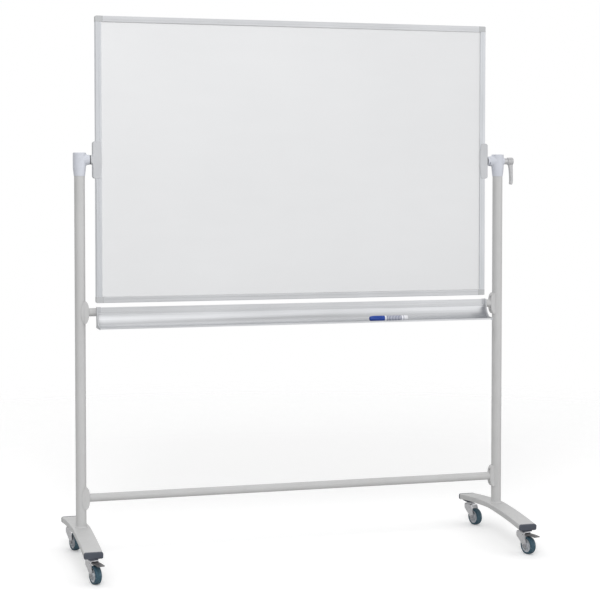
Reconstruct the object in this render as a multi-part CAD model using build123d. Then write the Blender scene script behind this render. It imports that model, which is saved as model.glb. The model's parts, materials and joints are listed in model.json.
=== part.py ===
from build123d import *
from math import asin, cos, degrees, radians, sin
import os

# Rolling whiteboard: a two-sided board that turns end over end between two posts, on a stand
# with arched feet and four swivel casters, with a pen tray, a clamp lever and one marker.
#
# Frame: millimetres, +X to the right, +Y to the back, +Z up. The origin is on the floor under
# the middle of the board, in the plane that holds the posts, the crossbars and the pivot axis.

# ---------------------------------------------------------------- driving dimensions
# Board
BOARD_WIDTH = 1500.0
BOARD_HEIGHT = 1030.0
BOARD_DEPTH = 26.0
PIVOT_Z = 1462.0            # pivot axis, which is the middle of the board
FRAME_FACE = 21.5           # width of a frame member seen from the front
FRAME_WALL = 2.0
FRAME_GRIP = 10.0           # from the frame's outer edge to the edge of the core
GROOVE_IN = 13.3            # decorative groove, in from the frame's outer edge
GROOVE_WIDTH = 1.2
GROOVE_DEPTH = 0.5
CORE_DEPTH = 18.0
SHEET_DEPTH = 0.6
SHEET_MARGIN = 0.2          # between a writing sheet and the frame round it
CORNER_WIDTH = 27.0
CORNER_RADIUS = 4.0

# Pivot brackets on the board's two upright edges
BRACKET_HEIGHT = 134.0
BRACKET_PLATE = 10.0        # thickness beyond the board's edge
BRACKET_WRAP = 2.5          # thickness over each frame face
BRACKET_BULGE = 5.0         # how far the flanges' inner edge bows out
BRACKET_SCREW_SPREAD = 48.0 # screws above and below the pivot axis
LEFT_BOSS = 7.5             # flared boss of the left bracket, beyond its plate
LEFT_BOSS_RADIUS = 17.0
COUNTERSINK = 2.5
COUNTERSINK_RADIUS = 5.05
STUD_HEAD_RADIUS = 12.5
STUD_HEAD_DEPTH = 4.0

# Stand
POST_X = 807.0
POST_RADIUS = 19.0
POST_TOP_Z = 1440.0
TUBE_WALL = 1.5
WELD_SIZE = 5.0             # weld collar where a post stands on its foot
CROSSBAR_RADIUS = 15.0
UPPER_CROSSBAR_Z = 914.0
LOWER_CROSSBAR_Z = 242.0
SCREW_RADIUS = 2.5          # shanks of all the small screws

# Saddles, which hold the crossbars against the posts
SADDLE_PROUD = 12.0
SADDLE_WRAP = 18.0          # how far its wings reach round the post
SADDLE_SKIN = 2.5
SADDLE_HEIGHT = 82.0
SADDLE_WIDTH = 32.0
SADDLE_SPIGOT = 26.0        # length inside the crossbar
SADDLE_SCREW_SPREAD = 25.0  # screws above and below the crossbar
SADDLE_SCREW_SEAT = 8.0     # from the post to the seat of the screw heads

# Post heads
HEAD_RADIUS = 23.3
HEAD_TOP_Z = 1488.0
HEAD_BOTTOM_Z = 1404.0
HEAD_TAPER = 30.0           # height of the tapered skirt
HEAD_SCREW_Z = HEAD_BOTTOM_Z + 14
ARM_RADIUS = 17.5           # at the arm's free end
ARM_ROOT_RADIUS = 22.3      # at the post's axis
ARM_BLEND = 7.0             # fillet where the arm meets the head
HEAD_ROUNDING = 3.0         # round the head's top
ARM_GAP = 3.5               # from the arm's end to the bracket, filled by the bush or the washer
ARM_SLIT = 3.5              # slit that lets the right arm clamp the stud
ARM_SLIT_IN = 5.0           # from the arm's end to the slit
BOSS_RADIUS = 15.0
PIN_RADIUS = 8.0
BUSH_RADIUS = 10.0
BUSH_FLANGE_RADIUS = 16.5
LEVER_FACE_X = 831.0        # outer face of the right head, where the clamp bears

# Clamp lever, with lengths counted outwards from the head
THREAD_RADIUS = 5.0
INSERT_RADIUS = 12.0
INSERT_COLLAR = 15.0
SPLINE_RADIUS = 8.5
SPLINE_END = 26.0
LEVER_SCREW_RADIUS = 3.0
LEVER_SCREW_HEAD = 33.5
HUB_RADIUS = 14.5
HUB_END = 38.0
HANDLE_REACH = 90.0         # from the pivot axis down to the tip
HANDLE_THICKNESS = 13.0

# Feet
FOOT_WIDTH = 65.0
FOOT_HEIGHT = 21.5
FOOT_WALL = 2.0
FOOT_CORNER = 4.0
FOOT_HALF_LENGTH = 297.0
FOOT_BEND = 3350.0          # radius of each arm's arc
FOOT_CREASE = 2.0           # slope of each arm, in degrees, where they meet under the post
FOOT_TOP_Z = 137.0
FOOT_CAP_LENGTH = 9.0
FOOT_CAP_LIP = 1.0
FOOT_CAP_CORNER = 7.0
FOOT_CAP_UNDERCUT = 5.5     # how far its front face stops above its underside
FOOT_CAP_PLUG = 44.0        # length of the plug inside the tube
FOOT_CAP_SOCKET = 17.0      # radius of the boss that takes the caster's stem
FOOT_BOLT_RADIUS = 4.0

# Casters
CASTER_Y = 259.5            # swivel axes in front of and behind the posts
CASTER_TOP_Z = 86.3
CASTER_TRAIL = 29.0
CASTER_TURN = 16.0          # degrees that each caster has swung towards +X
STEM_RADIUS = 5.0
STEM_LENGTH = 25.0
SWIVEL_RADIUS = 6.0
CUP_RADIUS = 16.0
WHEEL_RADIUS = 32.5
WHEEL_WIDTH = 24.0
RIM_RADIUS = 25.0
HUB_BARREL_RADIUS = 11.0
AXLE_RADIUS = 4.0
AXLE_HEAD = 4.0
FORK_GAP = 26.4
FORK_PLATE = 2.7
FORK_TOP_Z = 80.6
FORK_LENGTH = 44.0          # of the fork's top, front to back
HINGE_Y = -16.0             # brake pedal's hinge, from the swivel axis and the floor
HINGE_Z = 71.5
HINGE_RADIUS = 2.0

# Pen tray, as a section in Y and Z
TRAY_LENGTH = 1502.0
TRAY_TOP_Z = 932.0
TRAY_SHELF_Z = 861.0
TRAY_FRONT_Y = -93.5
TRAY_WALL_Y = -20.0         # front face of the upright wall
TRAY_WALL = 2.0
TRAY_LIP = 4.0              # height of the front lip above the shelf
TRAY_PAD = 9.5              # half height of the pad that rests on the crossbar
SCOOP_DEPTH = 34.0          # from the upright wall forward to the flat shelf
TRAY_CAP = 4.0
TRAY_CAP_MARGIN = 1.5
TRAY_CAP_SKIRT = 11.0       # strip of the cap that folds over the upright wall

# Marker
MARKER_RADIUS = 10.0
MARKER_LEFT_X = 265.5
MARKER_LENGTH = 151.0
MARKER_CAP_LENGTH = 58.0
MARKER_Y = -67.0
SNOUT_RADIUS = 8.0          # part of the barrel that the cap slides over
NIB_RADIUS = 2.2

# Clearances
FIT = 0.05                  # running fits and screws in their holes, on the radius
GAP = 0.3                   # between faces that pass each other

# ---------------------------------------------------------------- derived
HALF_WIDTH = BOARD_WIDTH / 2
HALF_HEIGHT = BOARD_HEIGHT / 2
HALF_DEPTH = BOARD_DEPTH / 2
BRACKET_X = HALF_WIDTH + BRACKET_PLATE
POST_FACE = POST_X - POST_RADIUS
SADDLE_X = POST_FACE - SADDLE_PROUD
SCREW_SEAT_X = POST_FACE - SADDLE_SCREW_SEAT
RIGHT_ARM_X = BRACKET_X + ARM_GAP
LEFT_ARM_X = BRACKET_X + LEFT_BOSS + ARM_GAP
CROSSBAR_BORE = CROSSBAR_RADIUS - TUBE_WALL
FOOT_MID_Z = FOOT_TOP_Z - FOOT_HEIGHT / 2
FOOT_UNDER_Z = FOOT_TOP_Z - FOOT_HEIGHT
FOOT_BEND_Y = FOOT_BEND * sin(radians(FOOT_CREASE))
FOOT_ANGLE = degrees(asin((FOOT_HALF_LENGTH + FOOT_BEND_Y) / FOOT_BEND))
FORK_HALF = FORK_GAP / 2 + FORK_PLATE
FORK_UNDER_Z = FORK_TOP_Z - FORK_PLATE
SHELF_START_Y = TRAY_WALL_Y - SCOOP_DEPTH
TRAY_SCREW_PLACES = (-TRAY_LENGTH / 3, 0.0, TRAY_LENGTH / 3)
BRACKET_SCREW_PLACES = (PIVOT_Z - BRACKET_SCREW_SPREAD, PIVOT_Z + BRACKET_SCREW_SPREAD)
CROSSBAR_PLACES = {"lower_crossbar": LOWER_CROSSBAR_Z, "upper_crossbar": UPPER_CROSSBAR_Z}
SIDES = {"left": -1, "right": 1}
ENDS = {"front": -1, "rear": 1}

parts = {}


# ---------------------------------------------------------------- shape helpers
def block(x0, x1, y0, y1, z0, z1):
    """Rectangular solid between two corners."""
    middle = Pos((x0 + x1) / 2, (y0 + y1) / 2, (z0 + z1) / 2)
    return middle * Box(abs(x1 - x0), abs(y1 - y0), abs(z1 - z0))


def bar_x(radius, x0, x1, y=0.0, z=0.0):
    """Round bar along X."""
    return Pos((x0 + x1) / 2, y, z) * Rot(0, 90, 0) * Cylinder(radius, abs(x1 - x0))


def bar_y(radius, y0, y1, x=0.0, z=0.0):
    """Round bar along Y."""
    return Pos(x, (y0 + y1) / 2, z) * Rot(90, 0, 0) * Cylinder(radius, abs(y1 - y0))


def bar_z(radius, z0, z1, x=0.0, y=0.0):
    """Round bar along Z."""
    return Pos(x, y, (z0 + z1) / 2) * Cylinder(radius, abs(z1 - z0))


def turned(points):
    """Solid of revolution about the Z axis, from (radius, z) points."""
    return revolve(Plane.XZ * make_face(Polyline(*points, close=True)), Axis.Z)


def turned_x(points, y=0.0, z=0.0):
    """Solid of revolution about an axis along X, from (x, radius) points."""
    return Pos(0, y, z) * revolve(make_face(Polyline(*points, close=True)), Axis.X)


def flip_x(shape):
    """The same shape on the other side of the middle plane."""
    return mirror(shape, about=Plane.YZ)


def on_side(shape, side):
    """A shape that was drawn for the right side, placed on the side asked for."""
    return shape if side > 0 else flip_x(shape)


def pan_screw(seat_x, length):
    """Pan-head screw along +X with its head's seat at seat_x."""
    return turned_x([(seat_x - 2.6, 0), (seat_x - 2.6, 2.6), (seat_x - 1.6, 4.2), (seat_x, 4.4),
                     (seat_x, SCREW_RADIUS), (seat_x + length, SCREW_RADIUS), (seat_x + length, 0)])


# ---------------------------------------------------------------- board
def frame_section():
    """Frame channel in (distance in from the outer edge, depth): it grips the core's edge."""
    outer = Pos(FRAME_FACE / 2, 0) * Rectangle(FRAME_FACE, BOARD_DEPTH)
    outer = fillet(outer.vertices().group_by(Axis.X)[0], 2.0)
    outer = fillet(outer.vertices().group_by(Axis.X)[-1], 1.0)
    cavity = Pos(FRAME_FACE / 2, 0) * Rectangle(FRAME_FACE - 2 * FRAME_WALL, BOARD_DEPTH - 2 * FRAME_WALL)
    mouth = Pos(FRAME_FACE, 0) * Rectangle(2 * FRAME_WALL + 1, CORE_DEPTH + 2 * FIT)
    section = outer - cavity - mouth
    for face in (-1, 1):
        section -= Pos(GROOVE_IN, face * HALF_DEPTH) * Rectangle(GROOVE_WIDTH, 2 * GROOVE_DEPTH)
    return section


def frame_member(length):
    """Frame channel along +X, its outer edge at Z = 0 and its opening towards +Z."""
    face = Plane.YZ * Rot(0, 0, 90) * frame_section()
    return Pos(-length / 2, 0, 0) * extrude(face, length)


def build_frame():
    horizontal = frame_member(BOARD_WIDTH - 2 * CORNER_WIDTH)
    upright = frame_member(BOARD_HEIGHT - 2 * FRAME_FACE)
    parts["frame_bottom"] = Pos(0, 0, PIVOT_Z - HALF_HEIGHT) * horizontal
    parts["frame_top"] = Pos(0, 0, PIVOT_Z + HALF_HEIGHT) * Rot(0, 180, 0) * horizontal
    right = Pos(HALF_WIDTH, 0, PIVOT_Z) * Rot(0, -90, 0) * upright
    for z in BRACKET_SCREW_PLACES:
        right -= bar_x(SCREW_RADIUS + FIT, HALF_WIDTH - 2 * FRAME_WALL, HALF_WIDTH + 1, z=z)
    for name, side in SIDES.items():
        parts["frame_" + name] = on_side(right, side)


def core_box(margin=0.0):
    """The core, or the space it needs with a margin all round."""
    half_x = HALF_WIDTH - FRAME_GRIP + margin
    half_y = CORE_DEPTH / 2 + margin
    half_z = HALF_HEIGHT - FRAME_GRIP + margin
    return block(-half_x, half_x, -half_y, half_y, PIVOT_Z - half_z, PIVOT_Z + half_z)


def build_corners():
    """Moulded corner pieces, grouped: each covers the end of an upright and butts a horizontal."""
    solids = []
    for side in SIDES.values():
        for level in (-1, 1):
            x_out = side * HALF_WIDTH
            z_out = PIVOT_Z + level * HALF_HEIGHT
            corner = block(x_out - side * CORNER_WIDTH, x_out, -HALF_DEPTH, HALF_DEPTH,
                           z_out - level * FRAME_FACE, z_out)
            point = (x_out, 0, z_out)
            outer_edge = corner.edges().filter_by(Axis.Y).sort_by_distance(point)[0]
            solids.append(fillet(outer_edge, CORNER_RADIUS) - core_box(FIT))
    parts["frame_corners"] = Compound(solids)


def build_panel():
    parts["board_core"] = core_box()
    half_x = HALF_WIDTH - FRAME_FACE - SHEET_MARGIN
    half_z = HALF_HEIGHT - FRAME_FACE - SHEET_MARGIN
    for name, face in (("front_sheet", -1), ("back_sheet", 1)):
        inner = face * CORE_DEPTH / 2
        outer = inner + face * SHEET_DEPTH
        parts[name] = block(-half_x, half_x, inner, outer, PIVOT_Z - half_z, PIVOT_Z + half_z)


def pivot_bracket():
    """Right-hand pivot bracket without its bore: a plate on the edge with a flange on each face."""
    half_y = HALF_DEPTH + BRACKET_WRAP
    half_z = BRACKET_HEIGHT / 2
    inner_x = HALF_WIDTH - FRAME_FACE
    end_x = inner_x + BRACKET_BULGE
    bow = ThreePointArc((end_x, -half_z), (inner_x, 0), (end_x, half_z))
    rest = Polyline((end_x, half_z), (BRACKET_X, half_z), (BRACKET_X, -half_z), (end_x, -half_z))
    outline = make_face([bow, rest])
    outline = fillet(outline.vertices().group_by(Axis.X)[0], 5.0)
    outline = fillet(outline.vertices().group_by(Axis.X)[-1], 9.0)
    body = Pos(0, half_y, PIVOT_Z) * extrude(Plane.XZ * outline, 2 * half_y)
    faces = body.edges().group_by(Axis.Y)
    body = fillet(faces[0] + faces[-1], 1.2)
    body -= block(inner_x - 1, HALF_WIDTH, -HALF_DEPTH - FIT, HALF_DEPTH + FIT,
                  PIVOT_Z - half_z, PIVOT_Z + half_z)
    sink_x = BRACKET_X - COUNTERSINK
    for z in BRACKET_SCREW_PLACES:
        body -= bar_x(SCREW_RADIUS + FIT, HALF_WIDTH - 1, BRACKET_X, z=z)
        body -= turned_x([(sink_x, 0), (sink_x, SCREW_RADIUS), (BRACKET_X, COUNTERSINK_RADIUS),
                          (BRACKET_X + 1, COUNTERSINK_RADIUS), (BRACKET_X + 1, 0)], z=z)
    return body


def countersunk_screw():
    """Bracket screw along X, its flat head just inside the face of the bracket."""
    tip = HALF_WIDTH - 3.5
    neck = BRACKET_X - COUNTERSINK
    face = BRACKET_X - 0.1
    return turned_x([(tip, 0), (tip, SCREW_RADIUS), (neck, SCREW_RADIUS),
                     (face, COUNTERSINK_RADIUS - 0.15), (face, 0)])


def flared_boss():
    """Boss on the left bracket's plate that sweeps out to the end of the arm, drawn on the right."""
    end_x = BRACKET_X + LEFT_BOSS
    tip = (end_x, LEFT_BOSS_RADIUS)
    foot = (BRACKET_X, LEFT_BOSS_RADIUS + LEFT_BOSS)
    sweep_out = TangentArc(tip, foot, tangent=(-1, 0))
    rest = Polyline(foot, (HALF_WIDTH + 1, LEFT_BOSS_RADIUS + LEFT_BOSS), (HALF_WIDTH + 1, PIN_RADIUS),
                    (end_x, PIN_RADIUS), tip)
    boss = Pos(0, 0, PIVOT_Z) * revolve(make_face([sweep_out, rest]), Axis.X)
    half_y = HALF_DEPTH + BRACKET_WRAP
    return boss & block(HALF_WIDTH, end_x, -half_y, half_y, PIVOT_Z - 50, PIVOT_Z + 50)


def build_brackets():
    plate = pivot_bracket()
    bore = bar_x(PIN_RADIUS + FIT, HALF_WIDTH - 1, POST_X, z=PIVOT_Z)
    pocket = bar_x(STUD_HEAD_RADIUS + 0.5, HALF_WIDTH - 1, HALF_WIDTH + STUD_HEAD_DEPTH + 1, z=PIVOT_Z)
    parts["left_pivot_bracket"] = flip_x(plate + flared_boss() - bore)
    parts["right_pivot_bracket"] = plate - bore - pocket
    screws = []
    for z in BRACKET_SCREW_PLACES:
        for side in SIDES.values():
            screws.append(on_side(Pos(0, 0, z) * countersunk_screw(), side))
    parts["bracket_screws"] = Compound(screws)
    parts["left_pivot_pin"] = bar_x(PIN_RADIUS, -HALF_WIDTH - 0.5, -POST_X - 5, z=PIVOT_Z)


# ---------------------------------------------------------------- feet
BEND_AXIS = Axis((0, FOOT_BEND_Y, FOOT_MID_Z - FOOT_BEND * cos(radians(FOOT_CREASE))), (1, 0, 0))


def foot_section(grow, corner, angle):
    """Section across the front arm of a foot, at an angle in degrees from the top of its arc."""
    outline = RectangleRounded(FOOT_WIDTH + 2 * grow, FOOT_HEIGHT + 2 * grow, corner)
    level = Pos(0, BEND_AXIS.position.Y, BEND_AXIS.position.Z + FOOT_BEND) * Plane.XZ.location * outline
    return level.rotate(BEND_AXIS, angle)


def front_arm(grow, corner, angle_to):
    """Front arm of a foot from the crease to an angle, larger all round by grow."""
    arm = revolve(foot_section(grow, corner, 0), BEND_AXIS, angle_to)
    return arm & block(-FOOT_WIDTH, FOOT_WIDTH, -2 * FOOT_HALF_LENGTH, 0, 0, 2 * FOOT_TOP_Z)


def bent_bar(grow, corner, angle_to):
    """Both arms of a foot, which meet in a crease under the post."""
    arm = front_arm(grow, corner, angle_to)
    return arm + mirror(arm, about=Plane.XZ)


def build_feet():
    foot = bent_bar(0, FOOT_CORNER, FOOT_ANGLE)
    foot -= bent_bar(-FOOT_WALL, FOOT_CORNER - FOOT_WALL, FOOT_ANGLE + 0.1)
    foot -= bar_z(FOOT_BOLT_RADIUS + FIT, FOOT_UNDER_Z - 5, FOOT_TOP_Z + 5)
    for end in ENDS.values():
        foot -= bar_z(STEM_RADIUS + FIT, CASTER_TOP_Z, CASTER_TOP_Z + STEM_LENGTH, y=end * CASTER_Y)
    for name, side in SIDES.items():
        parts[name + "_foot"] = Pos(side * POST_X, 0, 0) * foot


def foot_cap():
    """Front end cap: flange over the tube's end, plug inside it and caster socket under it."""
    flange = extrude(foot_section(FOOT_CAP_LIP, FOOT_CAP_CORNER, FOOT_ANGLE), FOOT_CAP_LENGTH)
    front = flange.faces().sort_by(Axis.Y)[0].bounding_box()
    slope = Polyline((front.min.Y - 1, front.min.Z - 9), (front.min.Y - 1, front.min.Z + FOOT_CAP_UNDERCUT),
                     (front.min.Y + FOOT_CAP_LENGTH, front.min.Z - 1), close=True)
    flange -= extrude(Plane.YZ * make_face(slope), FOOT_WIDTH, both=True)
    flange = fillet(flange.faces().sort_by(Axis.Y)[0].edges(), 2.0)
    plug_angle = degrees(FOOT_CAP_PLUG / FOOT_BEND)
    plug_section = foot_section(-FOOT_WALL - 0.15, FOOT_CORNER - FOOT_WALL, FOOT_ANGLE - plug_angle)
    plug = revolve(plug_section, BEND_AXIS, plug_angle + 0.01)
    socket_top = FOOT_UNDER_Z - 10
    socket = bar_z(FOOT_CAP_SOCKET, CASTER_TOP_Z, socket_top, y=-CASTER_Y)
    socket += block(-FOOT_CAP_SOCKET, FOOT_CAP_SOCKET, -CASTER_Y, -FOOT_HALF_LENGTH - 4,
                    CASTER_TOP_Z, socket_top)
    cap = flange + plug + (socket - bent_bar(0, FOOT_CORNER, FOOT_ANGLE))
    return cap - bar_z(STEM_RADIUS + FIT, CASTER_TOP_Z - 1, CASTER_TOP_Z + STEM_LENGTH + 2, y=-CASTER_Y)


def build_foot_caps():
    cap = foot_cap()
    for end_name, end in ENDS.items():
        end_cap = cap if end < 0 else mirror(cap, about=Plane.XZ)
        for side_name, side in SIDES.items():
            parts[f"{end_name}_{side_name}_foot_cap"] = Pos(side * POST_X, 0, 0) * end_cap


# ---------------------------------------------------------------- posts and crossbars
def build_posts():
    foot = bent_bar(0, FOOT_CORNER, FOOT_ANGLE)
    post = (bar_z(POST_RADIUS, 0, POST_TOP_Z) - foot).solids().sort_by(Axis.Z)[-1]
    weld = turned([(0, FOOT_TOP_Z - WELD_SIZE), (POST_RADIUS + WELD_SIZE, FOOT_TOP_Z - WELD_SIZE),
                   (POST_RADIUS + WELD_SIZE, FOOT_TOP_Z), (POST_RADIUS, FOOT_TOP_Z + WELD_SIZE),
                   (0, FOOT_TOP_Z + WELD_SIZE)])
    post += weld - foot
    post -= bar_z(POST_RADIUS - TUBE_WALL, 0, POST_TOP_Z + 1)
    for z in CROSSBAR_PLACES.values():
        for level in (-1, 1):
            screw_z = z + level * SADDLE_SCREW_SPREAD
            post -= bar_x(SCREW_RADIUS + FIT, -POST_RADIUS - 1, 0, z=screw_z)
    post -= bar_y(SCREW_RADIUS + FIT, 0, POST_RADIUS + 1, z=HEAD_SCREW_Z)
    for name, side in SIDES.items():
        parts[name + "_post"] = on_side(Pos(POST_X, 0, 0) * post, side)


def foot_fastener():
    """Bolt and washer from under the foot, and the threaded disc inside the post that it pulls on."""
    washer_z = FOOT_UNDER_Z - 0.4       # the underside falls away a little from the crease
    washer = bar_z(10.0, washer_z - 1.6, washer_z)
    washer -= bar_z(FOOT_BOLT_RADIUS + FIT, washer_z - 3, washer_z + 1)
    bolt = Pos(0, 0, washer_z - 7.1) * extrude(RegularPolygon(7.5, 6), 5.5)
    bolt += bar_z(FOOT_BOLT_RADIUS, washer_z - 2, FOOT_TOP_Z + 13)
    disc = bar_z(POST_RADIUS - TUBE_WALL - FIT, FOOT_TOP_Z + 2, FOOT_TOP_Z + 14)
    disc -= bar_z(FOOT_BOLT_RADIUS + FIT, FOOT_TOP_Z, FOOT_TOP_Z + 15)
    return [washer, bolt, disc]


def build_foot_fasteners():
    solids = []
    for side in SIDES.values():
        solids += [Pos(side * POST_X, 0, 0) * solid for solid in foot_fastener()]
    parts["foot_fasteners"] = Compound(solids)


def build_crossbars():
    for name, z in CROSSBAR_PLACES.items():
        tube = bar_x(CROSSBAR_RADIUS, -SADDLE_X, SADDLE_X, z=z)
        parts[name] = tube - bar_x(CROSSBAR_BORE, -SADDLE_X - 1, SADDLE_X + 1, z=z)
    for x in TRAY_SCREW_PLACES:
        parts["upper_crossbar"] -= bar_y(SCREW_RADIUS + FIT, -CROSSBAR_RADIUS - 1, CROSSBAR_RADIUS + 1,
                                         x=x, z=UPPER_CROSSBAR_Z)


def saddle():
    """Right-hand crossbar end around Z = 0: an oval shell on the post, with a spigot for the tube."""
    half_x = (SADDLE_PROUD + SADDLE_WRAP) / 2
    oval = Pos(POST_FACE - SADDLE_PROUD + half_x, 0) * Ellipse(half_x, SADDLE_HEIGHT / 2)
    reach = POST_RADIUS + SADDLE_SKIN
    body = Pos(0, reach, 0) * extrude(Plane.XZ * oval, 2 * reach)
    plan = Pos(POST_X, 0) * Circle(reach)
    nose = Pos(SADDLE_X + SADDLE_PROUD, 0) * Rectangle(2 * SADDLE_PROUD, SADDLE_WIDTH)
    plan += fillet(nose.vertices().group_by(Axis.X)[0], 4.0)
    body = body & (Pos(0, 0, -SADDLE_HEIGHT / 2) * extrude(plan, SADDLE_HEIGHT))
    body -= bar_z(POST_RADIUS + FIT, -SADDLE_HEIGHT, SADDLE_HEIGHT, x=POST_X)
    body += bar_x(CROSSBAR_BORE - 0.1, SADDLE_X - SADDLE_SPIGOT, SADDLE_X + 2)
    for level in (-1, 1):
        screw_z = level * SADDLE_SCREW_SPREAD
        body -= bar_x(SCREW_RADIUS + FIT, SADDLE_X - 1, POST_X, z=screw_z)
        body -= bar_x(5.0, SADDLE_X - 1, SCREW_SEAT_X, z=screw_z)
    return body


def build_saddles():
    solids = []
    screws = []
    for z in CROSSBAR_PLACES.values():
        for side in SIDES.values():
            solids.append(on_side(Pos(0, 0, z) * saddle(), side))
            for level in (-1, 1):
                screw = Pos(0, 0, z + level * SADDLE_SCREW_SPREAD) * pan_screw(SCREW_SEAT_X, 17)
                screws.append(on_side(screw, side))
    for side in SIDES.values():
        screws.append(Pos(side * POST_X, HEAD_RADIUS, HEAD_SCREW_Z) * Rot(0, 0, -90) * pan_screw(0, 12))
    parts["crossbar_saddles"] = Compound(solids)
    parts["post_screws"] = Compound(screws)


# ---------------------------------------------------------------- post heads and pivots
def head_blank(arm_end_x):
    """Solid head on the right: an upright body over the post and an arm that it flows into."""
    body = turned([(0, HEAD_BOTTOM_Z), (POST_RADIUS + 0.9, HEAD_BOTTOM_Z),
                   (HEAD_RADIUS, HEAD_BOTTOM_Z + HEAD_TAPER), (HEAD_RADIUS, HEAD_TOP_Z), (0, HEAD_TOP_Z)])
    arm = turned_x([(arm_end_x, 0), (arm_end_x, ARM_RADIUS), (POST_X, ARM_ROOT_RADIUS), (POST_X, 0)],
                   z=PIVOT_Z)
    blank = Pos(POST_X, 0, 0) * body + arm
    blank = fillet(blank.edges().filter_by(GeomType.BSPLINE), ARM_BLEND)
    rims = blank.edges().filter_by(GeomType.CIRCLE)
    blank = fillet(rims.filter_by(lambda edge: edge.center().Z > HEAD_TOP_Z - 1), HEAD_ROUNDING)
    blank += bar_y(6.0, 0, HEAD_RADIUS, x=POST_X, z=HEAD_SCREW_Z)
    return blank - bar_y(SCREW_RADIUS + FIT, 0, HEAD_RADIUS + 1, x=POST_X, z=HEAD_SCREW_Z)


def build_heads():
    bore = bar_z(POST_RADIUS + FIT, HEAD_BOTTOM_Z - 1, POST_TOP_Z, x=POST_X)
    left = head_blank(LEFT_ARM_X) - bore
    left -= bar_x(BUSH_RADIUS + FIT, LEFT_ARM_X - 1, POST_X + 8, z=PIVOT_Z)
    parts["left_post_head"] = flip_x(left)

    right = head_blank(RIGHT_ARM_X) + bar_x(BOSS_RADIUS, POST_X, LEVER_FACE_X, z=PIVOT_Z) - bore
    right -= bar_x(PIN_RADIUS + FIT, RIGHT_ARM_X - 1, LEVER_FACE_X + 1, z=PIVOT_Z)
    slit_x = RIGHT_ARM_X + ARM_SLIT_IN
    right -= block(slit_x, slit_x + ARM_SLIT, -ARM_ROOT_RADIUS, ARM_ROOT_RADIUS,
                   PIVOT_Z - ARM_ROOT_RADIUS, PIVOT_Z - 4)
    parts["right_post_head"] = right


def build_pivots():
    boss_x = BRACKET_X + LEFT_BOSS
    bush = bar_x(BUSH_RADIUS, LEFT_ARM_X, POST_X + 6, z=PIVOT_Z)
    bush += bar_x(BUSH_FLANGE_RADIUS, boss_x + GAP, LEFT_ARM_X, z=PIVOT_Z)
    bush -= bar_x(PIN_RADIUS + FIT, boss_x, POST_X + 7, z=PIVOT_Z)
    parts["left_pivot_bush"] = flip_x(bush)
    washer = bar_x(BUSH_FLANGE_RADIUS, BRACKET_X + GAP, RIGHT_ARM_X - 0.1, z=PIVOT_Z)
    parts["friction_washer"] = washer - bar_x(PIN_RADIUS + FIT, BRACKET_X, RIGHT_ARM_X, z=PIVOT_Z)
    head_x = HALF_WIDTH + 0.5
    shank_x = head_x + STUD_HEAD_DEPTH
    stud = bar_x(STUD_HEAD_RADIUS, head_x, shank_x, z=PIVOT_Z)
    stud += bar_x(PIN_RADIUS, shank_x, LEVER_FACE_X - 1, z=PIVOT_Z)
    stud += bar_x(THREAD_RADIUS, LEVER_FACE_X - 1, LEVER_FACE_X + 17, z=PIVOT_Z)
    parts["right_pivot_stud"] = stud


# ---------------------------------------------------------------- clamp lever
def lever_insert():
    """Threaded insert: a collar that clamps the head and a spline that the handle drops onto."""
    insert = turned_x([(0, 0), (0, INSERT_RADIUS), (INSERT_COLLAR, INSERT_RADIUS),
                       (INSERT_COLLAR, SPLINE_RADIUS), (SPLINE_END, SPLINE_RADIUS), (SPLINE_END, 0)])
    insert -= bar_x(THREAD_RADIUS + FIT, -1, 17.5)
    return insert - bar_x(LEVER_SCREW_RADIUS + FIT, 16, SPLINE_END + 1)


def lever_screw():
    """Screw that holds the handle on the insert, with room to lift the handle against its spring."""
    tip = SPLINE_END - 7.5
    end = LEVER_SCREW_HEAD + 3
    return turned_x([(tip, 0), (tip, LEVER_SCREW_RADIUS), (LEVER_SCREW_HEAD, LEVER_SCREW_RADIUS),
                     (LEVER_SCREW_HEAD, 5.5), (end, 5.5), (end, 0)])


def lever_handle():
    """Hub over the insert, and a handle that hangs from it and cranks outwards at its tip."""
    hub = fillet(bar_x(HUB_RADIUS, INSERT_COLLAR + GAP, HUB_END).edges(), 2.5)
    crank = HANDLE_REACH - 14
    back = ThreePointArc((17.5, 0), (23.5, -0.45 * crank), (26, -crank))
    rest = Polyline((26, -crank), (25, -HANDLE_REACH + 1), (36, -HANDLE_REACH), (HUB_END + 0.5, -crank),
                    (HUB_END - 0.5, 0), (17.5, 0))
    arm = Pos(0, HANDLE_THICKNESS / 2, 0) * extrude(Plane.XZ * make_face([back, rest]), HANDLE_THICKNESS)
    arm = fillet(arm.edges().filter_by(lambda edge: edge.center().Z < -5), 2.8)
    handle = hub + arm
    handle -= bar_x(SPLINE_RADIUS + GAP, INSERT_COLLAR - 2, SPLINE_END + GAP)
    handle -= bar_x(LEVER_SCREW_RADIUS + GAP, SPLINE_END - 4, HUB_END + 2)
    return handle - bar_x(7.0, LEVER_SCREW_HEAD - 5, HUB_END + 2)


def build_clamp():
    place = Pos(LEVER_FACE_X + GAP, 0, PIVOT_Z)
    parts["lever_insert"] = place * lever_insert()
    parts["lever_screw"] = place * lever_screw()
    parts["clamp_lever"] = place * lever_handle()


# ---------------------------------------------------------------- pen tray
def tray_surface():
    """Upper line of the tray's section, from the top of its wall to the tip of its front lip."""
    top = Line((TRAY_WALL_Y, TRAY_TOP_Z), (TRAY_WALL_Y, UPPER_CROSSBAR_Z - 6))
    step = Line(top @ 1, (TRAY_WALL_Y - 1.5, UPPER_CROSSBAR_Z - 7.5))
    scoop = TangentArc(step @ 1, (SHELF_START_Y, TRAY_SHELF_Z), tangent=(0, -1))
    shelf = Line(scoop @ 1, (TRAY_FRONT_Y + 4, TRAY_SHELF_Z))
    lip = Line(shelf @ 1, (TRAY_FRONT_Y + 2, TRAY_SHELF_Z + TRAY_LIP))
    return [top, step, scoop, shelf, lip]


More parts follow.
